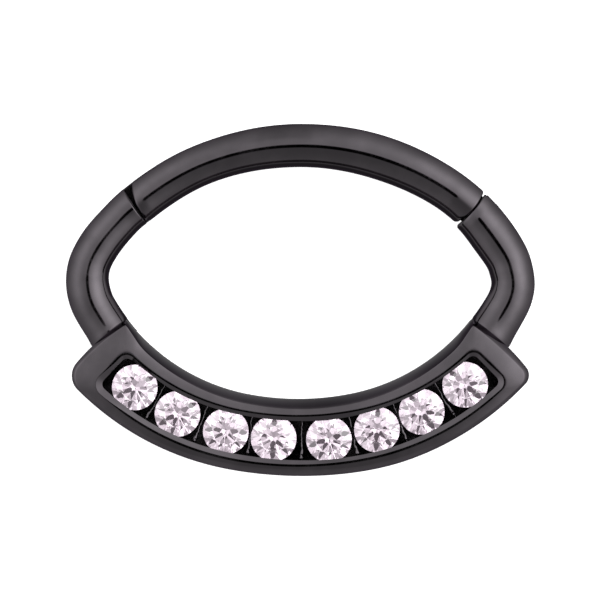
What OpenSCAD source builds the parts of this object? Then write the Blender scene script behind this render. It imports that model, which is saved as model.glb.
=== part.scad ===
// Hinged clicker ring of black-coated steel: an eye-shaped loop of round wire whose
// lower half is a curved channel setting with eight round stones. The top stretch
// is hinged at the left and clasps at the right. The ring lies on its back, with
// the stones facing up, and its loop in the XY plane.

/* [Wire] */
// Thickness of the round wire
wire_d = 1.2; // [1.1:0.05:1.25]
// Height of the wire's middle line above the centre, at the top of the loop
top_y = 4.29; // [4.25:0.01:4.35]
// Radius of the top bend, at the middle of the wire
top_r = 7.28; // [7.2:0.01:7.4]
// Angle from the top at which the shoulders leave the line of the top bend
top_a = 33; // [32:1:34]
// Radius of the shoulders
shoulder_r = 5.33; // [5.25:0.01:5.4]
// Angle from the top at which the shoulder becomes the side bend
shoulder_a = 61; // [60:1:62]
// Radius of the tight bend at each side
bend_r = 1.46; // [1.4:0.01:1.5]
// Angle from the top at which the side bend becomes the lower arm
bend_a = 120; // [118:1:121]
// Radius of the lower arms
arm_r = 6.22; // [6.1:0.01:6.4]

/* [Setting] */
// Width of the setting, from its inner wall to its outer wall
set_w = 2.18; // [2.16:0.01:2.24]
// Depth of the setting, from back to front
set_h = 2; // [1.98:0.01:2.2]
// Radius of the setting's inner wall
set_in_r = 6.56; // [6.54:0.01:6.6]
// Height of the wall's centre above the loop's centre
set_y = 3.85; // [3.8:0.01:3.9]
// Angle from the bottom at which the setting ends
set_a = 48.2; // [47:0.1:49]
// Rounding of the front edge that faces the opening
in_round = 0.38; // [0.2:0.01:0.42]
// Rounding of the outer front edge
out_round = 0.28; // [0.15:0.01:0.3]
// Rounding of both back edges
back_round = 0.15; // [0.05:0.01:0.2]
// Rounding of the two outer corners at the ends
corner_r = 0.35; // [0.2:0.01:0.4]

/* [Channel] */
// Distance of the channel's middle line from the setting's inner wall
channel_in = 1.18; // [1.14:0.01:1.2]
// Width of the channel between its lips
channel_w = 1.1; // [1.08:0.01:1.14]
// Width of the bevel along each lip
bevel_w = 0.12; // [0.05:0.01:0.12]
// Depth of that bevel
bevel_d = 0.12; // [0.05:0.01:0.12]
// Angle from the bottom at which the channel ends
channel_a = 42.3; // [41.5:0.1:42.5]

/* [Stones] */
// Diameter of each stone across its girdle
stone_d = 1.28; // [1.24:0.01:1.3]
// Distance between neighbouring stones along the channel
pitch = 1.38; // [1.36:0.01:1.39]
// Distance between the two middle stones, which stand a little further apart
mid_pitch = 1.53; // [1.4:0.01:1.55]
// Height of the lower edge of the girdles above the back of the ring
girdle_z = 1.72; // [1.65:0.01:1.74]
// Thickness of the girdle
girdle_t = 0.03; // [0.02:0.01:0.04]
// Width of the table as a part of the diameter
table = 0.57; // [0.53:0.01:0.6]
// Slope of the crown facets
crown_a = 34.5; // [33:0.1:35]
// Slope of the pavilion facets
pavilion_a = 40.8; // [40:0.1:41]
// Space left round each stone
stone_gap = 0.03; // [0.02:0.01:0.04]

/* [Hinge and clasp] */
// Angle from the top at which the hinge cut crosses the wire
hinge_a = 38.8; // [38.5:0.1:40]
// Turn of the hinge cut away from square to the wire
hinge_tilt = -5; // [-6:1:-4]
// Angle from the top at which the clasp cut crosses the wire
clasp_a = 40.5; // [40:0.1:41]
// Distance of the pin from the hinge cut, along the segment
pin_in = 0.66; // [0.64:0.01:0.7]
// Distance of the pin outwards from the middle of the cut
pin_out = 0.2; // [0.18:0.01:0.22]
// Thickness of the pin
pin_d = 0.36; // [0.3:0.01:0.38]
// Space round the pin, on the radius
pin_gap = 0.02; // [0.015:0.005:0.03]
// Thickness of the hinge tongue
tongue_t = 0.4; // [0.3:0.01:0.42]
// Half the width of the hinge tongue, and the radius of its end
tongue_r = 0.58; // [0.57:0.01:0.6]
// Space between a tongue and the walls of its slot
slot_gap = 0.03; // [0.025:0.005:0.04]
// Space between the segment's end and the arm at the hinge
hinge_gap = 0.03; // [0.03:0.01:0.06]
// How much wider that space is at the outer edge, so that the segment can swing out
hinge_flare = 0.18; // [0.17:0.01:0.2]
// Space between the segment's end and the arm at the clasp
clasp_gap = 0.04; // [0.03:0.01:0.08]
// Length of the clasp tongue
clasp_l = 0.45; // [0.3:0.01:0.5]
// Width of the clasp tongue, half of it inwards from the wire's middle line
clasp_w = 0.6; // [0.4:0.01:0.8]

/* [Hidden] */
$fn = 96;

coating = [0.13, 0.12, 0.13];
crystal = [0.95, 0.89, 0.93];

wire_r = wire_d / 2;
past = 6;           // degrees of wire drawn past a cut, before it is cut
reach = 4;          // size of the blocks that cut the wire
over = 1;           // how far a cutting shape sticks out of what it cuts
lap = 0.05;         // length that the shoulder and the arm run into the side bend
hair = 0.004;       // how much thinner they are, so that no two round faces coincide
arm_end_a = 139;    // the arms end inside the setting

// Direction at an angle from the top, clockwise
function from_top(a) = [sin(a), cos(a)];
// Angle in degrees of a length along a bend
function arc_a(l, r) = l / r * 180 / PI;

// Centres of the wire's bends on the right; each bend runs smoothly into the next
top_c = [0, top_y - top_r];
shoulder_c = top_c + (top_r - shoulder_r) * from_top(top_a);
bend_c = shoulder_c + (shoulder_r - bend_r) * from_top(shoulder_a);
arm_c = bend_c + (bend_r - arm_r) * from_top(bend_a);

// Channel and seats
stone_r = stone_d / 2;
lip_x = channel_w / 2;
groove_x = stone_r + stone_gap;
groove_top = girdle_z + girdle_t + (stone_r - lip_x) * tan(crown_a) + stone_gap;
ledge_z = girdle_z - 2 * stone_gap;
seat_r = stone_r - 2 * stone_gap / tan(pavilion_a) + 1.5 * stone_gap / sin(pavilion_a);
channel_r = set_in_r + channel_in;

// Heights of the pin's back end, just below the wire's surface, and of its blind front end
pin_low = wire_r - sqrt(pow(wire_r, 2) - pow(pin_out + pin_d / 2, 2)) + 0.02;
pin_high = wire_d - pin_low - 0.12;

// Angle from the bottom, towards +X, of stone n from 1 to 8
function stone_a(n) = sign(n - 4.5) * arc_a(mid_pitch / 2 + (abs(n - 4.5) - 0.5) * pitch, channel_r);

// Moves to stone n's place on the channel's middle line
module at_stone(n) {
    translate([0, set_y, 0])
        rotate([0, 0, stone_a(n)])
            translate([0, -channel_r, 0])
                children();
}

// One bend of round wire on the right, from angle a0 to a1 from the top
module bend(c, r, a0, a1, thick = wire_r) {
    translate([c[0], c[1], wire_r])
        rotate([0, 0, 90 - a1])
            rotate_extrude(angle = a1 - a0)
                translate([r, 0])
                    circle(r = thick);
}

// One arm of the loop, from angle a on the shoulder down into the setting
module arm(a) {
    bend(bend_c, bend_r, shoulder_a, bend_a);
    bend(shoulder_c, shoulder_r, a, shoulder_a + arc_a(lap, shoulder_r), wire_r - hair);
    bend(arm_c, arm_r, bend_a - arc_a(lap, arm_r), arm_end_a, wire_r - hair);
}

// The frame of a joint: origin at the middle of the cut, +X down the arm, +Y outwards
module at_joint(a, tilt) {
    p = top_c + top_r * from_top(a);
    translate([p[0], p[1], 0])
        rotate([0, 0, -a - tilt])
            children();
}
module at_hinge() {
    mirror([1, 0, 0])
        at_joint(hinge_a, hinge_tilt)
            children();
}
module at_clasp() {
    at_joint(clasp_a, 0)
        children();
}

// A flat plate in the middle of the wire's depth, drawn from a plan
module plate(t) {
    translate([0, 0, wire_r - t / 2])
        linear_extrude(height = t)
            children();
}

// Plans of the two tongues, in the frames of their joints; outwards they run on to the
// wire's own surface
module hinge_tongue_plan() {
    translate([-pin_in, pin_out])
        circle(r = tongue_r);
    translate([-pin_in, pin_out - tongue_r])
        square([pin_in + over, 2 * tongue_r]);
}
module clasp_tongue_plan() {
    translate([-over, -clasp_w / 2])
        square([over + clasp_l, clasp_w / 2 + over]);
}
// Plans of the two slots: both are open outwards only, because the segment swings that way
module hinge_slot_plan() {
    r = tongue_r + slot_gap;
    translate([-pin_in, pin_out])
        circle(r = r);
    translate([-pin_in, pin_out - r])
        square(2 * over);
}
module clasp_slot_plan() {
    y = -clasp_w / 2 - slot_gap;
    translate([-over, y])
        square([over + clasp_l + slot_gap, over - y]);
}

// A block on the arm's side of a cut, starting at x
module arm_side(x) {
    translate([x, -reach / 2, -over])
        cube([reach, reach, reach]);
}
// A block on the segment's side of a cut, ending at x
module segment_side(x) {
    translate([x - reach, -reach / 2, -over])
        cube([reach, reach, reach]);
}
// The flare that lets the segment's outer corner pass the arm
module hinge_flare_block() {
    translate([0, 0, -over])
        linear_extrude(height = reach)
            polygon([[0, 0], [-hinge_gap, 0], [-hinge_gap - hinge_flare, wire_r],
                     [-hinge_gap - hinge_flare, over], [0, over]]);
}

// What stands on the pin's axis
module at_pin(z) {
    at_hinge()
        translate([-pin_in, pin_out, z])
            children();
}
// The pin's hole, entered from the back
module pin_hole() {
    at_pin(-over)
        cylinder(h = over + pin_high + pin_gap, r = pin_d / 2 + pin_gap);
}

// Section of the setting: x runs out from the inner wall, y is the height
module setting_section() {
    difference() {
        square([set_w, set_h]);
        translate([0, set_h]) round_off(in_round, 0, -1);
        translate([set_w, set_h]) round_off(out_round, -1, -1);
        round_off(back_round, 0, 0);
        translate([set_w, 0]) round_off(back_round, -1, 0);
    }
}
// What is taken off a corner of a section to round it: sx and sy are -1 where it lies
// on the low side of the corner
module round_off(r, sx, sy) {
    difference() {
        translate([sx * r, sy * r])
            square(r);
        translate([sx < 0 ? -r : r, sy < 0 ? -r : r])
            circle(r = r);
    }
}
// Section of the channel: bevels, lips and the groove that holds the girdles
module channel_section() {
    translate([channel_in, 0])
        polygon([[-lip_x - bevel_w, set_h + over], [-lip_x - bevel_w, set_h],
                 [-lip_x, set_h - bevel_d], [-lip_x, groove_top], [-groove_x, groove_top],
                 [-groove_x, ledge_z], [groove_x, ledge_z], [groove_x, groove_top],
                 [lip_x, groove_top], [lip_x, set_h - bevel_d], [lip_x + bevel_w, set_h],
                 [lip_x + bevel_w, set_h + over]]);
}
// A section turned about the setting's centre, out to the angle a on both sides
module swept(a) {
    translate([0, set_y, 0])
        rotate([0, 0, -90 - a])
            rotate_extrude(angle = 2 * a)
                translate([set_in_r, 0])
                    children();
}
// Rounds the outer corner at each end of the setting, seen from the front
module end_corners() {
    for (m = [0, 1])
        mirror([m, 0, 0])
            translate([0, set_y, -over])
                rotate([0, 0, -90 + set_a])
                    translate([set_in_r + set_w, 0, 0])
                        linear_extrude(height = set_h + 2 * over)
                            corner_plan();
}
// The circle is a little larger than the corner, so that it crosses the two faces
module corner_plan() {
    difference() {
        translate([-corner_r, -corner_r])
            square(2 * corner_r);
        translate([-corner_r, -corner_r])
            circle(r = 1.05 * corner_r);
    }
}
// The cone that each stone's pavilion sits in; it ends just above the channel's floor
module seat(n) {
    depth = seat_r * tan(pavilion_a);
    rise = 0.01;
    at_stone(n)
        translate([0, 0, ledge_z - depth])
            cylinder(h = depth + rise, r1 = 0, r2 = seat_r + rise / tan(pavilion_a));
}
module setting() {
    difference() {
        swept(set_a)
            setting_section();
        end_corners();
        swept(channel_a)
            channel_section();
        for (n = [1 : 8])
            seat(n);
    }
}

module ring_body() {
    color(coating) {
        setting();
        difference() {
            mirror([1, 0, 0])
                arm(hinge_a - 3 * past);
            at_hinge()
                difference() {
                    segment_side(0);
                    plate(tongue_t)
                        hinge_tongue_plan();
                }
            pin_hole();
        }
        difference() {
            arm(clasp_a - past);
            at_clasp() {
                segment_side(clasp_gap / 2);
                plate(tongue_t)
                    clasp_slot_plan();
            }
        }
    }
}

module hinged_segment() {
    color(coating)
        difference() {
            bend(top_c, top_r, -hinge_a - past, clasp_a + past);
            at_hinge() {
                arm_side(-hinge_gap);
                hinge_flare_block();
                plate(tongue_t + 2 * slot_gap)
                    hinge_slot_plan();
            }
            at_clasp()
                difference() {
                    arm_side(-clasp_gap / 2);
                    plate(tongue_t - 2 * slot_gap)
                        clasp_tongue_plan();
                }
            pin_hole();
        }
}

module hinge_pin() {
    color(coating)
        at_pin(pin_low)
            cylinder(h = pin_high - pin_low, r = pin_d / 2);
}

// Rings of corners of a brilliant cut: k corners on radius r at height z, the first at angle a
function ring(k, r, z, a) = [for (i = [0 : k - 1]) [r * cos(a + i * 360 / k), r * sin(a + i * 360 / k), z]];

// One stone: table, 8 star, 8 kite and 16 upper girdle facets above the girdle, and
// 16 lower girdle and 8 main facets below it
module stone(n) {
    half = cos(22.5);
    table_r = table * stone_r;
    star_r = (table_r * half + stone_r) / 2;
    tip_r = 0.23 * stone_r;
    crown_z = girdle_z + girdle_t;
    corners = concat(
        ring(8, table_r, crown_z + (stone_r - table_r) * tan(crown_a), 0),
        ring(8, star_r, crown_z + (stone_r - star_r * half) * tan(crown_a), 22.5),
        ring(16, stone_r, crown_z, 0),
        ring(16, stone_r, girdle_z, 0),
        ring(8, tip_r, girdle_z - (stone_r - tip_r * half) * tan(pavilion_a), 22.5),
        [[0, 0, girdle_z - stone_r * tan(pavilion_a)]]);
    star = 8;
    upper = 16;
    lower = 32;
    tip = 48;
    culet = 56;
    facets = concat(
        [[for (i = [7 : -1 : 0]) i]],
        [for (i = [0 : 7]) [i, (i + 1) % 8, star + i]],
        [for (i = [0 : 7]) [i, star + i, upper + 2 * i, star + (i + 7) % 8]],
        [for (i = [0 : 7]) [star + i, upper + 2 * i + 1, upper + 2 * i]],
        [for (i = [0 : 7]) [star + i, upper + (2 * i + 2) % 16, upper + 2 * i + 1]],
        [for (i = [0 : 15]) [upper + i, upper + (i + 1) % 16, lower + (i + 1) % 16, lower + i]],
        [for (i = [0 : 7]) [lower + 2 * i, lower + 2 * i + 1, tip + i]],
        [for (i = [0 : 7]) [lower + 2 * i + 1, lower + (2 * i + 2) % 16, tip + i]],
        [for (i = [0 : 7]) [lower + 2 * i, tip + i, culet, tip + (i + 7) % 8]]);
    color(crystal)
        at_stone(n)
            polyhedron(points = corners, faces = facets);
}

module stone_1() { stone(1); }
module stone_2() { stone(2); }
module stone_3() { stone(3); }
module stone_4() { stone(4); }
module stone_5() { stone(5); }
module stone_6() { stone(6); }
module stone_7() { stone(7); }
module stone_8() { stone(8); }

ring_body();
hinged_segment();
hinge_pin();
stone_1();
stone_2();
stone_3();
stone_4();
stone_5();
stone_6();
stone_7();
stone_8();
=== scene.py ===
import random
from math import cos, degrees, exp, pi, radians, sin, sqrt, tan

import bmesh
import bpy
import numpy as np
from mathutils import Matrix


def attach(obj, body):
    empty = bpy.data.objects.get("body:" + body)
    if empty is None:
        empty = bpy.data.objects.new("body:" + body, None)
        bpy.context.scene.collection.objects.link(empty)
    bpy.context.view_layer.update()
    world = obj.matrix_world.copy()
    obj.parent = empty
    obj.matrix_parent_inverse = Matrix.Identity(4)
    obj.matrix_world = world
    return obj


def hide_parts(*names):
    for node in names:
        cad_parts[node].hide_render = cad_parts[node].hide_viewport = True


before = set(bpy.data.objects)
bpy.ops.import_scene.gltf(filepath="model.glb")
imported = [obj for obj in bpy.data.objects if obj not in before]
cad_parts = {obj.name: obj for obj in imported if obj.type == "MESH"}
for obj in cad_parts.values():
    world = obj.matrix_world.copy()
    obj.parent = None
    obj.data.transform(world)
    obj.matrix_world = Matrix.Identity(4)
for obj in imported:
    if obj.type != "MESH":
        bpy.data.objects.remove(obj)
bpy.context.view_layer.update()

# Hinged clicker ring of black-coated steel, lying on its back with the stones up.
# Shapes are made in millimetres and brought to metres when they are finished.
mm = 0.001
scene = bpy.context.scene


# One wrapper for node trees: materials, the world and Geometry Nodes all use it
class Link:
    def __init__(self, tree, socket=None):
        self.tree, self.socket = tree, socket

    def node(self, kind, settings=None, inputs=None, output=0):
        made = self.tree.nodes.new(kind)
        for name, value in (settings or {}).items():
            setattr(made, name, value)
        for name, value in (inputs or {}).items():
            if isinstance(value, Link):
                self.tree.links.new(value.socket, made.inputs[name])
            else:
                made.inputs[name].default_value = value
        return Link(self.tree, made.outputs[output]) if len(made.outputs) else made

    def __getitem__(self, name):  # another output of the same node
        return Link(self.tree, self.socket.node.outputs[name])

    def math(self, operation, *values):
        return self.node("ShaderNodeMath", {"operation": operation}, dict(enumerate((self, *values))))

    def vector(self, operation, *values, output=0):
        values = dict(enumerate((self, *values)))
        return self.node("ShaderNodeVectorMath", {"operation": operation}, values, output)

    def scaled(self, factor):  # a vector times a value
        return self.node("ShaderNodeVectorMath", {"operation": "SCALE"}, {0: self, "Scale": factor})

    def __add__(self, other):
        return self.math("ADD", other)

    def __mul__(self, other):
        return self.math("MULTIPLY", other)

    def __sub__(self, other):
        return self.math("SUBTRACT", other)

    def __rsub__(self, other):
        return self * -1.0 + other

    __radd__, __rmul__ = __add__, __mul__

    def step(self, low, high, start=0.0, end=1.0):  # a smooth step from start to end
        return self.node("ShaderNodeMapRange", {"interpolation_type": "SMOOTHSTEP"},
                         {0: self, 1: low, 2: high, 3: start, 4: end})

    def bell(self, middle, width):  # 1 at the middle, falling off on both sides
        away = (self - middle) * (1 / width)
        return (away * away * -1.0).math("EXPONENT")

    def mixed(self, first, second):  # two colours, mixed by this value
        return self.node("ShaderNodeMix", {"data_type": "RGBA"}, {0: self, 6: first, 7: second}, 2)


def newObject(name, data):
    made = bpy.data.objects.new(name, data)
    scene.collection.objects.link(made)
    return made


def fromForm(name, form, material):  # an object made of a bmesh, which is used up
    mesh = bpy.data.meshes.new(name)
    form.to_mesh(mesh)
    form.free()
    mesh.materials.append(material)
    return newObject(name, mesh)


# The camera looks straight down on the ring, as in the photograph
view = {
    "width": 600 / 36,       # millimetres across the frame: 600 pixels at 36 to the millimetre
    "distance": 250.0,       # a long lens, so that the ring is seen without perspective
    "sharpPlane": 0.6,       # height at which the frame has that width
    "roll": -0.54,
}
camera = newObject("camera", bpy.data.cameras.new("camera"))
camera.location = (0, 0, (view["distance"] + view["sharpPlane"]) * mm)
camera.rotation_euler = (0, 0, radians(view["roll"]))
camera.data.lens = camera.data.sensor_width * view["distance"] / view["width"]
camera.data.clip_start, camera.data.clip_end = 0.01, 10
scene.camera = camera
scene.view_settings.view_transform = "Standard"

studio = {
    "front": 0.33, "frontRise": 0.28,    # light from the side of the stones, low in the picture
    "back": 1.09, "backFall": 0.55,      # light from the top of the picture
    # two softboxes: strength, turn towards the top of the picture, tilt and spread
    "right": (1.76, 14, 0.40, 0.27), "left": (0.80, 18, 0.48, 0.24),
    # the darker strip between the softboxes, and between which leans it sets in
    "gap": 0.32, "gapAt": -0.07, "gapWidth": 0.16, "gapFrom": 0.2, "gapTo": 0.45,
    "underFrom": 0.945, "underTo": 0.970, "under": 0.55,  # less light from under the ring
    # the dark straight above the ring, and between which leans it ends at the latest
    "lensFrom": 0.059, "lensTo": 0.085, "lensAt": -0.055, "aboveFrom": 0.3, "aboveTo": 0.4,
    "tint": (1, 0.995, 1, 1),
}


def buildLight():
    world = bpy.data.worlds.new("softStudio")
    scene.world = world
    world.use_nodes = True
    world.node_tree.nodes.clear()
    tree = Link(world.node_tree)
    aim = tree.node("ShaderNodeTexCoord", output="Generated")
    part = aim.node("ShaderNodeSeparateXYZ", inputs={0: aim})
    x, y, z = part["X"], part["Y"], part["Z"]
    flat = (x * x + y * y + 1e-6).math("SQRT")
    across, up = x.math("DIVIDE", flat), y.math("DIVIDE", flat)
    # how far a mirror leans that shows this direction to the camera: 0 flat, 1 upright
    lean = (0.5 - z * 0.5).math("SQRT")
    front = lean * lean * studio["frontRise"] + studio["front"]
    light = (up * 0.5 + 0.5) * (studio["back"] - lean * studio["backFall"] - front) + front
    for side in ("right", "left"):
        strength, turn, tilt, spread = studio[side]
        toward = cos(radians(turn)) * (1 if side == "right" else -1)
        facing = (across * toward + up * sin(radians(turn))).math("MAXIMUM", 0.0)
        light = light + lean.bell(tilt, spread) * facing * facing * strength
    gap = across.bell(studio["gapAt"], studio["gapWidth"]) * up.math("MAXIMUM", 0.0)
    gap = gap * lean.step(studio["gapFrom"], studio["gapTo"])
    light = light * (1.0 - gap * studio["gap"])
    light = light * lean.step(studio["underFrom"], studio["underTo"], 1.0, studio["under"])
    aside = y - studio["lensAt"]
    shade = ((x * x + aside * aside).math("SQRT") * 0.5).step(studio["lensFrom"], studio["lensTo"])
    shade = shade.math("MAXIMUM", lean.step(studio["aboveFrom"], studio["aboveTo"]))
    glow = tree.node("ShaderNodeBackground", inputs={
        "Color": studio["tint"], "Strength": light * shade})
    tree.node("ShaderNodeOutputWorld", inputs={"Surface": glow})


def newMaterial(name, values):  # a material whose shader has these values
    made = bpy.data.materials.new(name)
    made.use_nodes = True
    shader = made.node_tree.nodes["Principled BSDF"].inputs
    for socket, value in values.items():
        shader[socket].default_value = value
    return made


def buildFloor():
    form = bmesh.new()
    bmesh.ops.create_circle(form, cap_ends=True, segments=96, radius=2.0)
    floor = fromForm("floor", form, newMaterial("paleTable", {
        "Base Color": (0.85, 0.85, 0.85, 1), "Roughness": 0.9, "Specular IOR Level": 0.0,
        "Emission Color": (1, 1, 1, 1), "Emission Strength": 0.85}))  # lit from below, as a light table
    floor.visible_glossy = False  # the table isn't mirrored in the polished steel


buildLight()
buildFloor()
print("stage ready")


steelFinish = {
    "dark": (0.092, 0.084, 0.0915), "light": (0.112, 0.102, 0.111),
    "edgeTint": (0.50, 0.48, 0.51),     # a coated surface darkens towards its outline
    "inside": (0.022, 0.020, 0.022),    # painted shade: the inner side of the bow is darkened, in place of the darker reflection it shows
    "inward": (-1, -2.2, 0), "insideFrom": 0.74, "insideTo": 0.84,  # how squarely it faces the middle, where the painted shade begins and where it is full
    "bowFrom": -2.4, "bowTo": -1.8,     # height in the picture at which the bow begins
    "polish": 0.07, "dull": 0.13,       # roughness where it is best and worst
    "scuff": 0.05,                      # what the grain adds to it
    # scale and detail of the three noises, and the parts of them that are used
    "cloud": (1300, 4.0), "grain": (9000, 3.0), "wave": (1800, 1.0),
    "toneRange": (0.35, 0.7), "dullRange": (0.3, 0.75), "scuffRange": (0.45, 0.8),
    "bump": 0.12, "bumpDepth": 4e-6, "bumpGrain": 0.12,
}


def coatedSteel():
    look = steelFinish
    steel = newMaterial("coatedSteel", {"Metallic": 1.0, "Specular Tint": (*look["edgeTint"], 1)})
    tree = Link(steel.node_tree)
    place = tree.node("ShaderNodeTexCoord", output="Object")
    cloud, grain, wave = (
        place.node("ShaderNodeTexNoise", inputs={"Vector": place, "Scale": scale, "Detail": detail})
        for scale, detail in (look["cloud"], look["grain"], look["wave"]))
    tone = cloud.step(*look["toneRange"]).mixed((*look["dark"], 1), (*look["light"], 1))
    toMiddle = place.vector("MULTIPLY", look["inward"]).vector("NORMALIZE")
    inward = toMiddle.vector("DOT_PRODUCT", place["Normal"], output="Value")
    high = place.node("ShaderNodeSeparateXYZ", inputs={0: place})["Y"]
    # painted shade on the inner side of the bow, where it faces the middle of the ring
    inside = inward.step(look["insideFrom"], look["insideTo"])
    inside = inside * high.step(look["bowFrom"] * mm, look["bowTo"] * mm)
    tone = inside.mixed(tone, (*look["inside"], 1))
    rough = cloud.step(*look["dullRange"], look["polish"], look["dull"])
    rough = rough + grain.step(*look["scuffRange"], 0.0, look["scuff"])
    relief = wave + grain * look["bumpGrain"]
    bump = place.node("ShaderNodeBump", inputs={
        "Strength": look["bump"], "Distance": look["bumpDepth"], "Height": relief})
    shader = steel.node_tree.nodes["Principled BSDF"].inputs
    for socket, value in (("Base Color", tone), ("Roughness", rough), ("Normal", bump)):
        steel.node_tree.links.new(value.socket, shader[socket])
    return steel


def clearStone():
    return newMaterial("palePinkCrystal", {
        "Base Color": (1.0, 0.87, 0.97, 1), "Roughness": 0.0, "IOR": 2.16, "Transmission Weight": 1.0,
        # painted light: a faint glow that lifts the dark facets, standing in for light scattered in a
        # small stone
        "Emission Color": (1.0, 0.86, 0.97, 1), "Emission Strength": 0.030})


steel, crystal = coatedSteel(), clearStone()


def plainCopy(source, name):  # the evaluated object as a plain mesh of its own
    bpy.context.view_layer.update()
    graph = bpy.context.evaluated_depsgraph_get()
    mesh = bpy.data.meshes.new_from_object(source.evaluated_get(graph), depsgraph=graph)
    mesh.name = name
    return newObject(name, mesh)


def cut(base, tool, operation):  # one Boolean step, which uses up both objects
    step = base.modifiers.new("cut", "BOOLEAN")
    step.operation, step.object, step.solver = operation, tool, "MANIFOLD"
    name = base.name
    made = plainCopy(base, name + "Cut")
    for used in (base, tool):
        bpy.data.objects.remove(used)
    made.name = name
    return made


def finish(piece, body, nodes, sharp=None):
    form = bmesh.new()
    form.from_mesh(piece.data)
    if sharp is not None:
        for face in form.faces:
            face.smooth = True
        for edge in form.edges:
            edge.smooth = len(edge.link_faces) == 2 and edge.calc_face_angle() < radians(sharp)
    bmesh.ops.scale(form, vec=(mm, mm, mm), verts=form.verts)
    form.to_mesh(piece.data)
    form.free()
    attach(piece, body)
    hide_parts(*nodes)
    print(piece.name, "ready,", len(piece.data.vertices), "vertices")


def useTree(source, tree, values):  # runs a Geometry Nodes tree on an object
    step = source.modifiers.new("make", "NODES")
    step.node_group = tree
    for socket in tree.interface.items_tree:
        if socket.in_out == "INPUT" and socket.name in values:
            step[socket.identifier] = values[socket.name]
    made = plainCopy(source, source.name + "Made")
    name = source.name
    bpy.data.objects.remove(source)
    made.name = name
    return made


wire = {
    "height": 0.6, "topY": 4.291,       # of its middle: above the table, and at the top of the picture
    # radius of each bend and the angle from the top at which the next one begins
    "bends": [(7.279, 33.2), (5.334, 61.0), (1.462, 120.1), (6.222, 180.0)],
    # on the left (-1) and right (1): distance from the top, thickness, drift outwards
    "shape": {
        -1: [(0, 1.207, 0), (2.8, 1.143, 0.005), (4.6, 1.158, -0.027), (5.4, 1.135, 0),
             (6.5, 1.170, 0.036), (8.0, 1.220, -0.035), (9.6, 1.225, -0.02)],
        1: [(0, 1.207, 0), (2.2, 1.240, 0.003), (4.8, 1.175, 0.018), (5.17, 1.175, 0.018),
            (5.21, 1.25, -0.012), (6.2, 1.275, -0.036), (7.2, 1.223, -0.022), (7.8, 1.215, 0.018),
            (9.6, 1.23, 0.012)]},
    "sides": 72, "step": 0.06, "rimRows": 10,  # points round it, spacing of its rows, rows of a rim
    "inside": 9.55,                     # the arms end inside the setting
    "root": {-1: 9.06, 1: 9.16},        # where each arm meets the setting
    # how it swells outwards there and how its upper half rises, and from how far
    "swell": {-1: (0.05, 0.12), 1: (0.09, 0.30)}, "rise": {-1: (0.025, 0.11), 1: (0.055, 0.19)},
    "dip": 0.013, "dipFrom": 0.045,     # how it narrows to the seam there
    "settle": 0.9,                      # how far from a cut end its slant is felt
    "fall": 0.13, "fallSoft": 0.08,     # slope of the crown towards a cut end, and its softness
    "flareSoft": 0.44,                  # the more, the straighter the flare of a cut end
}


def wireBends():  # centre, radius, first and last angle of each bend on the right
    made, centre, start, last = [], None, 0.0, None
    for radius, end in wire["bends"]:
        if centre is None:
            centre = np.array([0.0, wire["topY"] - radius])
        else:
            centre = centre + (last - radius) * np.array([sin(radians(start)), cos(radians(start))])
        made.append((centre, radius, start, end))
        start, last = end, radius
    return made


def wireAt(distance, side):  # place, outward direction, direction down the arm, angle
    rest = distance
    for centre, radius, start, end in wireBends():
        length = radians(end - start) * radius
        if rest <= length:
            break
        rest -= length
    angle = radians(start) + rest / radius
    outward = np.array([sin(angle), cos(angle)])
    place = centre + radius * outward
    down = np.array([cos(angle), -sin(angle)])
    flip = np.array([side, 1])
    return place * flip, outward * flip, down * flip, degrees(angle)


def wireShape(distance, side):  # thickness, and how far its middle lies outwards
    for (near, *first), (far, *last) in zip(wire["shape"][side], wire["shape"][side][1:]):
        if distance <= far:
            break
    share = min((distance - near) / (far - near), 1.0)
    share = share * share * (3 - 2 * share)
    return [one + (two - one) * share for one, two in zip(first, last)]


def wireEnd(side, at, cut=None, **given):
    # cut: its angle from the top; flare, bow: how its outer half and its middle stand out;
    # round, roll: of its rim in plan (inner, outer) and in height; fade: how far from it
    # the crown begins to fall; thin: how much slimmer the wire is on each side
    usual = {"flare": 0.0, "bow": 0.0, "round": (0.03, 0.03), "roll": 0.03, "fade": 0.0, "thin": 0.0}
    return {"side": side, "at": at, "cut": cut, **usual, **given}


def rounding(away, radius):  # what a rounded edge takes off at this distance from it
    return radius - sqrt(max(0.0, radius ** 2 - (radius - away) ** 2)) if away < radius else 0.0


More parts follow.
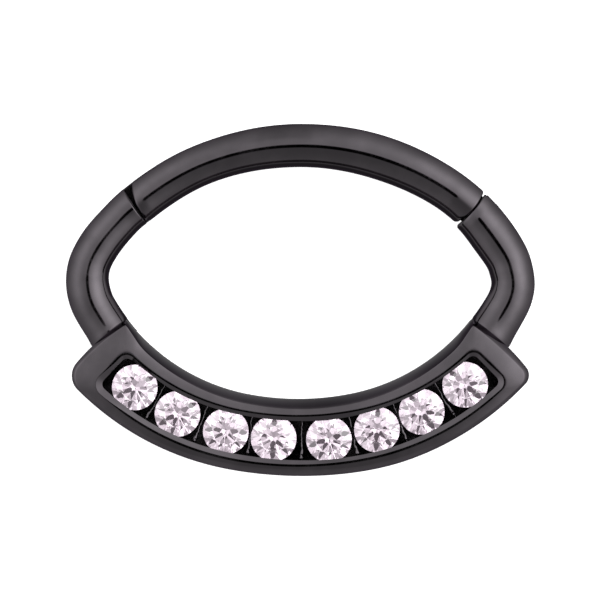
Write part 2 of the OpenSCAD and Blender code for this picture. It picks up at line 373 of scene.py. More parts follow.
def wireRow(name, begin, end):
    start = -begin["at"] if begin["side"] != end["side"] else begin["at"]
    total = end["at"] - start
    turns = [t * pi / (2 * wire["rimRows"]) for t in range(wire["rimRows"] + 1)]
    rims = [[max(*e["round"], e["roll"]) * (1 - cos(turn)) for turn in turns] for e in (begin, end)]
    first, last = rims[0][-1], total - rims[1][-1]
    count = int((last - first) / wire["step"])
    spots = rims[0] + [first + (last - first) * t / count for t in range(1, count)]
    spots += [total - v for v in reversed(rims[1])]
    rows = []
    for along in spots:
        spot = start + along
        side = end["side"] if begin["side"] == end["side"] or spot >= 0 else begin["side"]
        place, outward, down, angle = wireAt(abs(spot), side)
        thickness, drift = wireShape(abs(spot), side)
        near, away = (begin, along) if along < total / 2 else (end, total - along)
        half, lean, flare, bow, rise = thickness / 2 - near["thin"], 0.0, 0.0, 0.0, 0.0
        height = min(half, wire["height"])
        if near["cut"] is not None:
            weight = max(0.0, 1 - away / wire["settle"]) ** 2
            lean = tan(radians(near["cut"] - angle)) * weight
            flare, bow = near["flare"] * weight, near["bow"] * weight
            inner, outer = (rounding(away, radius) for radius in near["round"])
            half, drift = half - (inner + outer) / 2, drift + (inner - outer) / 2
            fall = max(0.0, near["fade"] - away)
            fall = wire["fall"] * fall * fall / (fall + wire["fallSoft"])
            height -= rounding(away, near["roll"]) + fall
        elif not near["thin"]:  # the foot of an arm
            rest = wire["root"][side] - abs(spot)
            size, reach = wire["swell"][side]
            size *= exp(-max(rest, 0.0) / reach)
            seam = wire["dip"] * min(1.0, max(0.0, 1 - rest / wire["dipFrom"])) ** 2
            half, drift, height = half + size / 2 - seam, drift + size / 2, height - seam
            size, reach = wire["rise"][side]
            rise = size * exp(-max(rest, 0.0) / reach) / height
        rows.append((place, outward, down, half, height / half, drift, lean, flare, bow, rise))
    return pathMesh(name, [rows], wire["height"])


def pathMesh(name, runs, height):
    # each run is a path for the tree below, with rows of (place, outward, down, half width,
    # height over width, drift outwards, lean, flare and bow down the path, rise of its upper half)
    rows = [row for run in runs for row in run]
    edges, first = [], 0
    for run in runs:
        edges += [(first + i, first + i + 1) for i in range(len(run) - 1)]
        first += len(run)
    mesh = bpy.data.meshes.new(name)
    mesh.from_pydata([(row[0][0], row[0][1], height) for row in rows], edges, [])
    for label, column in (("centre", 0), ("outward", 1), ("down", 2)):
        layer = mesh.attributes.new(label, "FLOAT_VECTOR", "POINT")
        values = [(*row[column], height if column == 0 else 0.0) for row in rows]
        layer.data.foreach_set("vector", np.array(values, dtype=np.float32).ravel())
    for column, label in enumerate(("half", "tall", "drift", "lean", "flare", "bow", "rise"), 3):
        layer = mesh.attributes.new(label, "FLOAT", "POINT")
        layer.data.foreach_set("value", np.array([row[column] for row in rows], dtype=np.float32))
    return newObject(name, mesh)


def newTree(name, inputs):
    tree = bpy.data.node_groups.new(name, "GeometryNodeTree")
    tree.interface.new_socket("Geometry", in_out="INPUT", socket_type="NodeSocketGeometry")
    for label, kind, value in inputs:
        socket = tree.interface.new_socket(label, in_out="INPUT", socket_type=kind)
        if value is not None:
            socket.default_value = value
    tree.interface.new_socket("Geometry", in_out="OUTPUT", socket_type="NodeSocketGeometry")
    return tree, Link(tree)


def closeTree(link, geometry, material):
    whole = link.node("GeometryNodeRealizeInstances", inputs={"Geometry": geometry})
    coated = link.node("GeometryNodeSetMaterial", inputs={"Geometry": whole, "Material": material})
    link.node("NodeGroupOutput", inputs={"Geometry": coated})


def storedIn(link):  # gives the values that the points carry
    def stored(name, kind="FLOAT"):
        return link.node("GeometryNodeInputNamedAttribute", {"data_type": kind}, {"Name": name},
                         "Attribute")
    return stored


def wireTree():
    tree, link = newTree("sweepWire", [("Sides", "NodeSocketInt", 64)])
    start, stored = link.node("NodeGroupInput"), storedIn(link)
    path = link.node("GeometryNodeMeshToCurve", inputs={"Mesh": start["Geometry"]})
    path = link.node("GeometryNodeSetCurveNormal", {"mode": "Z_UP"}, {"Curve": path})
    section = link.node("GeometryNodeCurvePrimitiveCircle", inputs={
        "Resolution": start["Sides"], "Radius": 1.0})
    tube = link.node("GeometryNodeCurveToMesh", inputs={
        "Curve": path, "Profile Curve": section, "Scale": stored("half"), "Fill Caps": True})
    spot = link.node("GeometryNodeInputPosition")
    away = spot.vector("SUBTRACT", stored("centre", "FLOAT_VECTOR"))
    outward, down = stored("outward", "FLOAT_VECTOR"), stored("down", "FLOAT_VECTOR")
    out = away.vector("DOT_PRODUCT", outward, output="Value")
    shift = stored("lean") * out
    shift = shift + stored("flare") * out.math("MAXIMUM", 0.0) * (out + wire["flareSoft"])
    shift = shift + stored("bow") * (1.0 - out * out * (1 / wire["height"] ** 2))
    offset = down.scaled(shift).vector("ADD", outward.scaled(stored("drift")))
    high = away.node("ShaderNodeSeparateXYZ", inputs={0: away})["Z"]
    high = high * (stored("tall") - 1.0) + high.math("MAXIMUM", 0.0) * stored("rise")
    offset = offset.vector("ADD", high.node("ShaderNodeCombineXYZ", inputs={0: 0.0, 1: 0.0, 2: high}))
    tube = link.node("GeometryNodeSetPosition", inputs={"Geometry": tube, "Offset": offset})
    closeTree(link, tube, steel)
    return tree


sweepWire = wireTree()


def reportOpen(name, form):
    print("open edges of", name + ":", sum(len(edge.link_faces) != 2 for edge in form.edges))


def tidied(made):  # doubles merged and faces turned outwards
    form = bmesh.new()
    form.from_mesh(made.data)
    bmesh.ops.remove_doubles(form, verts=form.verts, dist=1e-5)
    bmesh.ops.recalc_face_normals(form, faces=form.faces)
    form.to_mesh(made.data)
    form.free()
    return made


def sweptWire(name, begin, end):
    return tidied(useTree(wireRow(name, begin, end), sweepWire, {"Sides": wire["sides"]}))


joint = {
    # distance of each joint along the wire, angle from the top at which it is cut, shape of its ends
    "hingeAt": radians(38.8) * 7.28, "hingeCut": 33.8, "hingeFlare": 0.54,
    "armFrom": 0.018, "armBow": 0.04,
    "claspAt": 5.190, "claspCut": 41.8, "claspBow": 0.092, "claspGap": 0.045,
    # the pin: its place before the cut and outwards, its radius and its hole's, its ends and the
    # space over it
    "pinIn": 0.66, "pinOut": 0.2, "pinRadius": 0.18, "pinHole": 0.20,
    "pinLow": 0.156, "pinHigh": 0.924, "pinSpace": 0.02,
    # the hinge's tongue and slot: thickness, radius round the pin, how far before the cut they end
    "tongue": 0.4, "slot": 0.46, "tongueRadius": 0.58, "slotRadius": 0.583,
    "sill": 0.09, "sillGap": 0.003,
    # what the tongue is cut from: wire from before to after the cut, slimmer by this, and its root
    "tongueFrom": (1.6, 0.8), "tongueThin": 0.004, "tongueRoot": 0.4,
    # the clasp's tongue and slot: thickness, how far inwards and down the arm, space beside and below
    "claspTongue": 0.34, "claspSlot": 0.4, "claspInner": 0.42, "claspLength": 0.45,
    "space": 0.03, "endGap": 0.003,
    "claspFrom": (0.5, 0.7), "claspThin": 0.008, "claspRoot": 0.3,
    "notch": 0.12, "notchDepth": 0.13,  # the nick in the outline at the clasp
    # how far a plan reaches past the wire and over a cut, and the depth of a hole right through
    "past": 2, "over": 1, "drill": 4,
}


def jointFrame(distance, cut, side):
    place = wireAt(distance, side)[0]
    outward = np.array([sin(radians(cut)) * side, cos(radians(cut))])
    down = np.array([cos(radians(cut)) * side, -sin(radians(cut))])
    return place, outward, down


def plate(name, at, plan, thickness, low=None):  # low: the height of its lower side
    # a flat plate with its plan drawn in a joint's frame: x down the arm, y outwards
    place, outward, down = at
    low = wire["height"] - thickness / 2 if low is None else low
    form = bmesh.new()
    corners = [form.verts.new((*(place + down * x + outward * y), low)) for x, y in plan]
    face = form.faces.new(corners)
    raised = bmesh.ops.extrude_face_region(form, geom=[face])["geom"]
    raised = [part for part in raised if isinstance(part, bmesh.types.BMVert)]
    bmesh.ops.translate(form, vec=(0, 0, thickness), verts=raised)
    bmesh.ops.recalc_face_normals(form, faces=form.faces)
    return fromForm(name, form, steel)


def arc(radius, first=0, last=360, steps=48):  # points of a plan round the pin
    turns = [radians(first + (last - first) * t / steps) for t in range(steps + (last - first < 360))]
    return [(-joint["pinIn"] + radius * cos(t), joint["pinOut"] + radius * sin(t)) for t in turns]


def joints():  # the frames of the hinge and the clasp
    return (jointFrame(joint["hingeAt"], joint["hingeCut"], -1),
            jointFrame(joint["claspAt"], joint["claspCut"], 1))


def roundPlan(radius, sill, root, outer):
    # a half circle round the pin, which goes on outwards to the given corners and inwards to the sill
    turn, past = joint["pinOut"] - radius, joint["past"]
    return arc(radius, 90, 270) + [(sill, turn), (sill, -past), (root, -past), *outer]


def stretch(name, side, at, reach, thin):  # the wire that a tongue is cut from
    before, after = reach
    return sweptWire(name, wireEnd(side, at - before, thin=thin), wireEnd(side, at + after, thin=thin))


def makeSegment():
    hinge, clasp = joints()
    past, over = joint["past"], joint["over"]
    segment = sweptWire(
        "hingedSegment",
        wireEnd(-1, joint["hingeAt"], joint["hingeCut"], flare=-joint["hingeFlare"],
                round=(0.01, 0.02), roll=0.10, fade=0.32),
        wireEnd(1, joint["claspAt"] - joint["claspGap"] / 2, joint["claspCut"], bow=joint["claspBow"],
                round=(0.11, 0.06), roll=0.02, fade=0.54))
    # the hinge's slot is open outwards, because the segment swings that way
    plan = roundPlan(joint["slotRadius"], -joint["sill"] - joint["sillGap"], over,
                     [(over, past), (-joint["pinIn"], past)])
    segment = cut(segment, plate("slot", hinge, plan, joint["slot"]), "DIFFERENCE")
    tip = stretch("tip", 1, joint["claspAt"], joint["claspFrom"], joint["claspThin"])
    root, inner = -joint["claspRoot"], -joint["claspInner"]
    deep, nick = joint["claspLength"], joint["notch"]
    bottom = wireShape(joint["claspAt"], 1)[0] / 2 - joint["notchDepth"]
    plan = [(root, inner), (deep, inner), (deep, past), (nick, past), (nick, bottom), (-nick, bottom),
            (-nick, past), (root, past)]
    tip = cut(tip, plate("claspTongue", clasp, plan, joint["claspTongue"]), "INTERSECT")
    segment = cut(segment, tip, "UNION")
    # the hole is blind: it is drilled from the back
    depth = over + joint["pinHigh"] + joint["pinSpace"]
    segment = cut(segment, plate("hole", hinge, arc(joint["pinHole"]), depth, -over), "DIFFERENCE")
    finish(segment, "segment", ["hinged_segment"], sharp=26)
    long = joint["pinHigh"] - joint["pinLow"]
    pin = plate("hingePin", hinge, arc(joint["pinRadius"]), long, joint["pinLow"])
    finish(pin, "segment", ["hinge_pin"], sharp=26)


def makeArms():
    hinge, clasp = joints()
    past, over = joint["past"], joint["over"]
    left = sweptWire(
        "leftArm",
        wireEnd(-1, joint["hingeAt"] + joint["armFrom"], joint["hingeCut"], bow=joint["armBow"],
                round=(0.01, 0.01), roll=0.045),
        wireEnd(-1, wire["inside"]))
    tongue = stretch("tongue", -1, joint["hingeAt"], joint["tongueFrom"], joint["tongueThin"])
    root = joint["tongueRoot"]
    plan = roundPlan(joint["tongueRadius"], -joint["sill"], root,
                     [(root, joint["pinOut"] + joint["tongueRadius"])])
    tongue = cut(tongue, plate("tonguePlan", hinge, plan, joint["tongue"]), "INTERSECT")
    left = cut(left, tongue, "UNION")
    left = cut(left, plate("hole", hinge, arc(joint["pinHole"]), joint["drill"], -over), "DIFFERENCE")
    right = sweptWire(
        "rightArm",
        wireEnd(1, joint["claspAt"] + joint["claspGap"] / 2, joint["claspCut"], bow=joint["claspBow"],
                round=(0.12, 0.06), roll=0.02, fade=0.30),
        wireEnd(1, wire["inside"]))
    deep, inner = joint["claspLength"] + joint["endGap"], -joint["claspInner"] - joint["space"]
    plan = [(-over, inner), (deep, inner), (deep, past), (-over, past)]
    right = cut(right, plate("slot", clasp, plan, joint["claspSlot"]), "DIFFERENCE")
    return left, right


setting = {
    "depth": 2.0, "backRound": 0.13, "backRows": 6,
    # centre of the arc on each side, and the angle at which it goes over into the flatter middle
    "sideX": 0.44, "sideY": 2.98, "flatAngle": 11.0,
    # radius of each wall, how it changes towards the ends, and from about what angle
    "innerWall": 5.685, "innerDraw": -0.00238, "outerWall": 7.793, "outerDraw": 0.00233,
    "drawSoft": 10.0,
    "bulge": (0.036, 13, 14),            # how far the outer wall swells, where and over what angle
    # angle and radius at which each end stands furthest out, how it falls away from there
    "end": {-1: 51.9, 1: 51.0}, "endAt": 6.2, "endFall": 0.6,
    # its outer corner, and its inner one with the curve in it
    "corner": {-1: 0.46, 1: 0.28}, "fan": 0.5, "fanCurve": 0.05,
    "middle": 6.8, "cornersAt": (6.0, 7.6),  # radii at which an inset and the corners are measured
    # the level ridge, the lip round the stones and the groove under the lip
    "ridgeIn": 6.120, "ridgeOut": 7.530, "ridgeEnd": {-1: 45.6, 1: 45.3},
    "ridgeCorner": {-1: 0.36, 1: 0.34}, "ridgeCornerIn": 0.28,
    "lipIn": 6.252, "lipOut": 7.35, "lipEnd": {-1: 44.2, 1: 43.9}, "lipCorner": 0.18,
    "grooveIn": 6.13, "grooveOut": 7.47, "grooveLonger": 0.05, "grooveCorner": 0.16,
    "grooveTop": 1.842, "ledge": 1.66,
    # the lips aren't quite even: how far they lie outwards at some angles
    "wave": {"in": [(-44, -0.01), (-38, -0.030), (-29, 0.012), (-8, 0.008), (4.8, 0.046),
                    (14, 0.006), (26, -0.020), (37, -0.020), (44, 0.0)],
             "out": [(-8, -0.006), (4.8, 0.034), (14, 0.02), (25, -0.006)]},
    # points of a row along each side, round a corner and along an end; how far the lower left
    # corner's kind of rim goes on to either side of it
    "across": 300, "cornerPoints": 12, "endPoints": 24, "slip": (14, 8),
    "soft": 0.05, "crisp": 0.006,        # width of the round above a steep part, and of a crisp edge
    "gentleRows": 6, "steepRows": 9, "bevelRows": (0.08, 0.5, 1.0),
    # each side's rim: width and first and last tilt of its steep part, first and last tilt of
    # the nearly flat part inside it, width of the level ridge, bevel towards the stones
    "rims": {
        "inner": (0.235, 74, 84, 3, 13, 0.045, 0.065), "outer": (0.160, 38, 74, 3, 13, 0.055, 0.035),
        "left": (0.085, 55, 80, 3, 12, 0.058, 0.100), "right": (0.150, 45, 78, 3, 15, 0.058, 0.085),
        "leftInner": (0.120, 60, 80, 3, 9, 0.055, 0.08),
        "rightInner": (0.160, 60, 80, 3, 9, 0.058, 0.08),
        "leftOuter": (0.080, 40, 76, 9, 12, 0.008, 0.150),
        "rightOuter": (0.100, 40, 76, 4, 15, 0.035, 0.07),
    },
}
stones = {
    "diameter": 1.262, "girdleZ": 1.72, "girdle": 0.03,
    # distance from stone to stone, wider in the middle, along an arc
    "pitch": 1.38, "middlePitch": 1.53, "rowRadius": 7.74, "rowY": 3.85,
    # slopes, and the table and the inner ends of the lower facets as shares of the radius
    "crown": 34.5, "pavilion": 41.1, "table": 0.57, "tip": 0.29,
    "uneven": 0.3,                       # degrees by which a facet is off
    # degrees by which chance turns and tips each stone, and by which all are tipped
    "twist": 180.0, "wobble": 1.1, "tilt": 4.5, "seed": 5,
    "seatGap": 0.045, "seatRise": 0.02, "seatSides": 72,
    # how far each stone sits along the row and outwards from its place
    "shift": [(-0.015, -0.005), (-0.005, 0.02), (0.035, 0.01), (-0.005, -0.035),
              (0, 0.01), (-0.025, 0), (-0.07, -0.01), (-0.03, -0.025)],
}


def settingPlace(angle, radius):  # angle from the bottom and radius, on the three-centred curve
    turn, side = np.radians(angle), np.sign(angle)
    flat = radians(setting["flatAngle"])
    extra = setting["sideX"] / sin(flat)
    middle = np.abs(angle) <= setting["flatAngle"]
    x0 = np.where(middle, 0.0, side * setting["sideX"])
    y0 = np.where(middle, setting["sideY"] + extra * cos(flat), setting["sideY"])
    long = np.where(middle, radius + extra, radius)
    return np.stack([x0 + long * np.sin(turn), y0 - long * np.cos(turn)], axis=-1)


def drawn(base, pull):  # a wall that drifts from its radius towards the ends
    soft = setting["drawSoft"]
    return lambda angle: base + pull * (np.sqrt(angle ** 2 + soft ** 2) - soft)


def cornerPath(size, curve, count):
    # evenly spaced points round a corner that is straight but for its curve, as distances
    # before and after the sharp corner
    straight = size - curve
    turned = curve * pi / 2
    points = []
    for t in range(count + 1):
        along = (2 * straight + turned) * t / count
        turn = min(max((along - straight) / curve, 0.0), pi / 2)
        before = max(straight - along, 0.0) + curve * (1 - sin(turn))
        after = max(along - straight - turned, 0.0) + curve * (1 - cos(turn))
        points.append((before, after))
    return points


def settingLoop(inner, outer, end, cornerIn, cornerOut, curveIn=None):
    # one closed row of (angle, radius) round the setting, with the same count in each row;
    # end gives the angle of the right (1) or left (-1) end at a radius
    nc, ns = setting["cornerPoints"], setting["endPoints"]
    nearIn, nearOut = setting["cornersAt"]
    sides = {}
    for side in (1, -1):
        rIn, rOut = inner(end(side, nearIn)), outer(end(side, nearOut))
        cOut, chain = cornerOut[side], []
        for before, after in cornerPath(cornerIn, curveIn or cornerIn, nc):
            angle = end(side, rIn + after) - degrees(before / rIn)
            chain.append((angle, inner(angle) + after))
        for t in range(1, ns + 1):
            r = rIn + cornerIn + (rOut - cOut - rIn - cornerIn) * t / (ns + 1)
            chain.append((end(side, r), r))
        for before, after in cornerPath(cOut, cOut, nc):
            angle = end(side, rOut - before) - degrees(after / rOut)
            chain.append((angle, outer(angle) - before))
        sides[side] = np.array(chain)
    right, left = sides[1], sides[-1] * [-1, 1]
    low = np.linspace(left[0, 0], right[0, 0], setting["across"])
    high = np.linspace(right[-1, 0], left[-1, 0], setting["across"])
    low, high = np.column_stack([low, inner(low)]), np.column_stack([high, outer(high)])
    return np.concatenate([low, right[1:-1], high, left[-2:0:-1]])


def stoneSpots():  # place and angle from the bottom of each stone
    made = []
    for n, (along, out) in enumerate(stones["shift"]):
        k = n - (len(stones["shift"]) - 1) / 2
        apart = k * stones["pitch"] + np.sign(k) * (stones["middlePitch"] - stones["pitch"]) / 2
        angle, radius = apart / stones["rowRadius"], stones["rowRadius"] + out
        x = radius * sin(angle) + along * cos(angle)
        y = stones["rowY"] - radius * cos(angle) + along * sin(angle)
        made.append((x, y, angle))
    return made


def rimFall(widths, rims):
    # shares of the way from the ridge to the wall, and how deep the rim has fallen there
    steep, first, last, start, end = rims.T[:5]
    gentle, hard = setting["gentleRows"], setting["steepRows"]
    soft = setting["soft"] / widths
    # at least a tenth of the way is nearly flat, and at least a tenth is steep
    flat = np.clip(1 - steep / widths - soft, 0.1, 1)
    soft = np.minimum(soft, 0.9 - flat)
    shares = [flat * t / gentle for t in range(gentle)]
    shares += [flat + soft * t / gentle for t in range(gentle)]
    shares += [flat + soft + (1 - flat - soft) * t / hard for t in range(hard + 1)]
    falls, fallen, tilts = [], 0 * flat, []
    for n, share in enumerate(shares):
        slow = start + (end - start) * np.clip(share / flat, 0, 1)
        fast = first + (last - first) * np.clip((share - flat - soft) / (1 - flat - soft), 0, 1)
        step = np.clip((share - flat) / soft, 0, 1)
        tilts.append(np.radians(slow + (fast - slow) * step * step * (3 - 2 * step)))
        if n:
            fallen = fallen + (share - shares[n - 1]) * np.tan((tilts[n] + tilts[n - 1]) / 2)
        falls.append(fallen * widths)
    return shares, falls


def smoothed(values, reach=7):  # evens out a closed row of values
    weights = np.ones(2 * reach + 1) / (2 * reach + 1)
    for _ in range(2):
        wrapped = np.concatenate([values[-reach:], values, values[:reach]])
        values = np.stack([np.convolve(column, weights, "valid") for column in wrapped.T], axis=-1)
    return values


def makeSetting():
    s = setting
    innerWall = drawn(s["innerWall"], s["innerDraw"])
    straightWall = drawn(s["outerWall"], s["outerDraw"])
    bulge, bulgeAt, bulgeWidth = s["bulge"]

    def outerWall(angle):
        return straightWall(angle) + bulge * np.exp(-((angle - bulgeAt) / bulgeWidth) ** 2)

    def outline(inset):
        def end(side, r):
            return s["end"][side] - s["endFall"] * (r - s["endAt"]) ** 2 - degrees(inset / s["middle"])
        corners = {side: size - inset for side, size in s["corner"].items()}
        return settingLoop(lambda a: innerWall(a) + inset, lambda a: outerWall(a) - inset, end,
                           s["fan"], corners, s["fanCurve"])

    def flatRow(inner, outer, ends, cornerIn, cornerOut, wave=0.0):
        return settingLoop(lambda a: inner + wave * np.interp(a, *zip(*s["wave"]["in"])),
                           lambda a: outer + wave * np.interp(a, *zip(*s["wave"]["out"])),
                           lambda side, r: ends[side], cornerIn, cornerOut)

    wall = outline(0.0)
    ridge = flatRow(s["ridgeIn"], s["ridgeOut"], s["ridgeEnd"], s["ridgeCornerIn"], s["ridgeCorner"])
    corner = s["lipCorner"]
    lip = flatRow(s["lipIn"], s["lipOut"], s["lipEnd"], corner, {1: corner, -1: corner}, 1.0)
    grooveEnd = {side: angle + s["grooveLonger"] for side, angle in s["lipEnd"].items()}
    corner = s["grooveCorner"]
    groove = flatRow(s["grooveIn"], s["grooveOut"], grooveEnd, corner, {1: corner, -1: corner})
    count, nc, ns = len(wall), s["cornerPoints"], s["endPoints"]
    before, after = s["slip"]
    order = [("inner", s["across"]), ("rightInner", nc), ("right", ns), ("rightOuter", nc),
             ("outer", s["across"] - before), ("leftOuter", before + nc + after), ("left", ns - after),
             ("leftInner", nc)]
    rims = [s["rims"][kind] for kind, many in order for _ in range(many)]
    rims = smoothed(np.array(rims, dtype=float))
    land, bevel = rims[:, 5], rims[:, 6]
    xyWall, xyRidge, xyLip = (settingPlace(*row.T) for row in (wall, ridge, lip))
    shares, falls = rimFall(np.linalg.norm(xyWall - xyRidge, axis=1), rims)

    rows = []  # (plan, height)
    for t in range(s["backRows"] + 1):
        turn = pi / 2 * t / s["backRows"]
        plan = outline(s["backRound"] * (1 - sin(turn)))
        rows.append((settingPlace(*plan.T), s["backRound"] * (1 - cos(turn))))
    for share, fall in list(zip(shares, falls))[::-1]:
        rows.append((xyRidge + (xyWall - xyRidge) * share[:, None], s["depth"] - fall))
    # the level ridge, with close rows that keep its edges crisp
    toLip = (xyLip - xyRidge) / np.linalg.norm(xyLip - xyRidge, axis=1)[:, None]
    for inset in (land * 0 + s["crisp"] / 4, land - s["crisp"], land):
        rows.append((xyRidge + toLip * inset[:, None], s["depth"]))
    shelf = rows[-1][0]
    for t in s["bevelRows"]:
        rows.append((shelf + (xyLip - shelf) * t, s["depth"] - bevel * t))
    rows += [(xyLip, s["grooveTop"]), (settingPlace(*groove.T), s["grooveTop"]),
             (settingPlace(*groove.T), s["ledge"])]
    vertices = [np.column_stack([plan, np.broadcast_to(height, count)]) for plan, height in rows]
    faces = []
    for k in range(len(rows) - 1):
        a, b = k * count, (k + 1) * count
        faces += [(a + i, a + (i + 1) % count, b + (i + 1) % count, b + i) for i in range(count)]
    # the back, and the floor of the channel
    faces += [range(count), range((len(rows) - 1) * count, len(rows) * count)]
    mesh = bpy.data.meshes.new("setting")
    mesh.from_pydata(np.concatenate(vertices).tolist(), [], faces)
    mesh.materials.append(steel)
    made = tidied(newObject("setting", mesh))
    form = bmesh.new()
    form.from_mesh(made.data)
    reportOpen("the setting", form)
    form.free()
    return cut(made, makeSeats(), "DIFFERENCE")


def makeSeats():  # the drilled cone that each stone sits in
    ledge, rise, slope = setting["ledge"], stones["seatRise"], radians(stones["pavilion"])
    # its radius at the ledge, which leaves the same gap round the stone as further down
    radius = stones["diameter"] / 2 - (stones["girdleZ"] - ledge) / tan(slope)
    radius += stones["seatGap"] / sin(slope)
    depth = radius * tan(slope) + rise
    form = bmesh.new()
    for x, y, _ in stoneSpots():
        cone = bmesh.ops.create_cone(form, cap_ends=True, segments=stones["seatSides"], radius1=0.0,
                                     radius2=radius + rise / tan(slope), depth=depth)
        bmesh.ops.translate(form, vec=(x, y, ledge + rise - depth / 2), verts=cone["verts"])
    return tidied(fromForm("seats", form, steel))


burrs = {
    "long": 0.62, "steps": 30, "sides": 8, "rise": 0.012, "seed": 4,
    # how far a line strays, and how much of that stays and is added at each step
    "wander": 0.022, "stay": 0.85, "stray": 0.6,
    # widest half width, the least share that chance leaves, and the share at the inner lip,
    # from which it grows by a power towards the outer one
    "width": 0.062, "least": 0.4, "begin": 0.2, "power": 4,
    "point": 0.004,                      # half width where it comes to a point
}


def makeBurrs():  # the thin uneven lines of metal that the drill leaves between two seats
    chance = random.Random(burrs["seed"])
    runs, spots, steps, begin = [], stoneSpots(), burrs["steps"], burrs["begin"]
    last = steps - 2                     # each line comes to a point after this step
    for (x0, y0, a0), (x1, y1, a1) in zip(spots, spots[1:]):
        angle, middle = (a0 + a1) / 2, np.array([x0 + x1, y0 + y1]) / 2
        outward, down = np.array([sin(angle), -cos(angle)]), np.array([cos(angle), sin(angle)])
        shift, rows = chance.uniform(-1, 1) * burrs["wander"], []
        for t in range(steps + 1):
            far = (t / (steps / 2) - 1) * burrs["long"]
            shift = shift * burrs["stay"] + chance.uniform(-1, 1) * burrs["wander"] * burrs["stray"]
            half = burrs["point"]
            if 0 < t <= last:
                half = burrs["width"] * chance.uniform(burrs["least"], 1.0)
                half *= begin + (1 - begin) * (t / last) ** burrs["power"]
            place = middle + outward * far + down * shift
            rows.append((place, down, outward, half, 1.0, 0.0, 0.0, 0.0, 0.0, 0.0))
        runs.append(rows)
    made = pathMesh("burrs", runs, setting["ledge"] + burrs["rise"])
    return tidied(useTree(made, sweepWire, {"Sides": burrs["sides"]}))


def makeRingBody():
    left, right = makeArms()
    body = makeSetting()
    body.name = "ringBody"
    body = cut(body, left, "UNION")
    body = cut(body, right, "UNION")
    burr = makeBurrs()
    form = bmesh.new()
    form.from_mesh(body.data)
    form.from_mesh(burr.data)
    form.to_mesh(body.data)
    form.free()
    bpy.data.objects.remove(burr)
    finish(body, "ring", ["ring_body"], sharp=26)


def cutStone():  # a round blank, cut by its 57 facets as planes
    crown, pavilion = tan(radians(stones["crown"])), tan(radians(stones["pavilion"]))
    r, low, high = stones["diameter"] / 2, 0.0, stones["girdle"]
    half = cos(radians(22.5))            # the facets go round in eighths and sixteenths
    table, tip = stones["table"] * r, stones["tip"] * r
    star = (table * half + r) / 2
    chance = random.Random(stones["seed"])

    def at(radius, z, angle):
        return np.array([radius * cos(radians(angle)), radius * sin(radians(angle)), z])

    tableZ, starZ = high + (r - table) * crown, high + (r - star * half) * crown
    tipZ, culet = low - (r - tip * half) * pavilion, np.array([0, 0, low - r * pavilion])
    planes = [(np.array([0, 0, tableZ]), np.array([0, 0, 1.0]))]
    for k in range(8):
        a = 45 * k
        triples = [
            (at(table, tableZ, a), at(table, tableZ, a + 45), at(star, starZ, a + 22.5)),
            (at(table, tableZ, a), at(star, starZ, a + 22.5), at(r, high, a)),
            (at(star, starZ, a + 22.5), at(r, high, a), at(r, high, a + 22.5)),
            (at(star, starZ, a + 22.5), at(r, high, a + 22.5), at(r, high, a + 45)),
            (at(r, low, a), at(r, low, a + 22.5), at(tip, tipZ, a + 22.5)),
            (at(r, low, a + 22.5), at(r, low, a + 45), at(tip, tipZ, a + 22.5)),
            (at(r, low, a), at(tip, tipZ, a + 22.5), culet)]
        for one, two, three in triples:
            normal = np.cross(two - one, three - one)
            normal /= np.linalg.norm(normal)
            if normal @ (one - [0, 0, low]) < 0:
                normal = -normal
            normal += np.array([chance.gauss(0, 1) for _ in range(3)]) * radians(stones["uneven"])
            planes.append((one, normal))
    form = bmesh.new()
    bmesh.ops.create_cone(form, cap_ends=True, segments=64, radius1=r, radius2=r, depth=1.6)
    for spot, normal in planes:
        made = bmesh.ops.bisect_plane(form, geom=[*form.verts, *form.edges, *form.faces], dist=1e-6,
                                      plane_co=spot, plane_no=normal, clear_outer=True)
        rim = [e for e in made["geom_cut"] if isinstance(e, bmesh.types.BMEdge)]
        if len(rim) > 2:
            bmesh.ops.edgeloop_fill(form, edges=rim)
    bmesh.ops.remove_doubles(form, verts=form.verts, dist=1e-5)
    bmesh.ops.recalc_face_normals(form, faces=form.faces)
    reportOpen("a stone", form)
    return fromForm("blank", form, crystal)


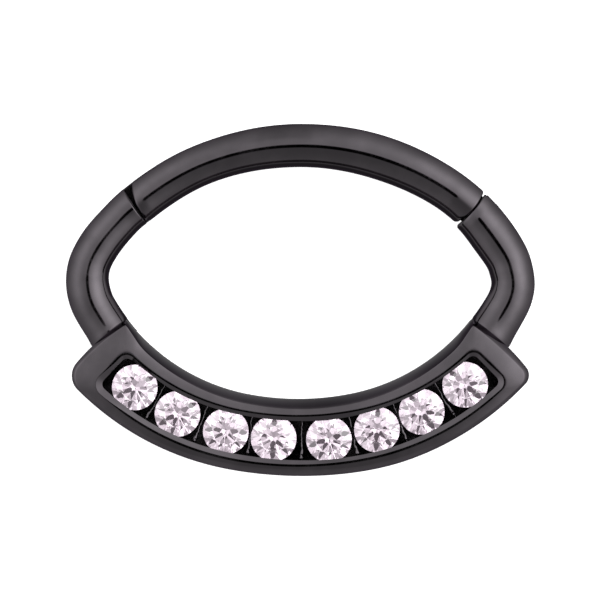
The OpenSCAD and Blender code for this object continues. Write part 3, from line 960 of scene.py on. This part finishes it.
def stoneTree():
    tree, link = newTree("setStones", [
        ("Stone", "NodeSocketObject", None), ("Twist", "NodeSocketFloat", 3.14),
        ("Wobble", "NodeSocketFloat", 0.02), ("Tilt", "NodeSocketFloat", 0.0),
        ("Seed", "NodeSocketInt", 5)])
    start = link.node("NodeGroupInput")
    blank = link.node("GeometryNodeObjectInfo", inputs={"Object": start["Stone"]})["Geometry"]
    most = link.node("ShaderNodeCombineXYZ", inputs={
        0: start["Wobble"], 1: start["Wobble"], 2: start["Twist"]})
    chance = link.node("FunctionNodeRandomValue", {"data_type": "FLOAT_VECTOR"}, {
        "Min": most.vector("MULTIPLY", (-1, -1, -1)), "Max": most, "Seed": start["Seed"]})
    turn = link.node("ShaderNodeCombineXYZ", inputs={0: 0.0, 1: 0.0, 2: storedIn(link)("angle")})
    rotation = link.node("FunctionNodeEulerToRotation", inputs={0: chance.vector("ADD", turn)})
    tilt = link.node("ShaderNodeCombineXYZ", inputs={0: start["Tilt"], 1: 0.0, 2: 0.0})
    rotation = link.node("FunctionNodeRotateRotation", {"rotation_space": "GLOBAL"}, {
        "Rotation": rotation, "Rotate By": link.node("FunctionNodeEulerToRotation", inputs={0: tilt})})
    row = link.node("GeometryNodeInstanceOnPoints", inputs={
        "Points": start["Geometry"], "Instance": blank, "Rotation": rotation})
    closeTree(link, row, crystal)
    return tree


def makeStones():
    spots, blank = stoneSpots(), cutStone()
    mesh = bpy.data.meshes.new("spots")
    mesh.from_pydata([(x, y, stones["girdleZ"]) for x, y, _ in spots], [], [])
    turns = mesh.attributes.new("angle", "FLOAT", "POINT")
    turns.data.foreach_set("value", [angle for *_, angle in spots])
    row = useTree(newObject("stones", mesh), stoneTree(), {
        "Stone": blank, "Twist": radians(stones["twist"]), "Wobble": radians(stones["wobble"]),
        "Tilt": radians(stones["tilt"]), "Seed": stones["seed"]})
    bpy.data.objects.remove(blank)
    finish(row, "ring", ["stone_%d" % (n + 1) for n in range(len(spots))])


makeSegment()
makeRingBody()
makeStones()
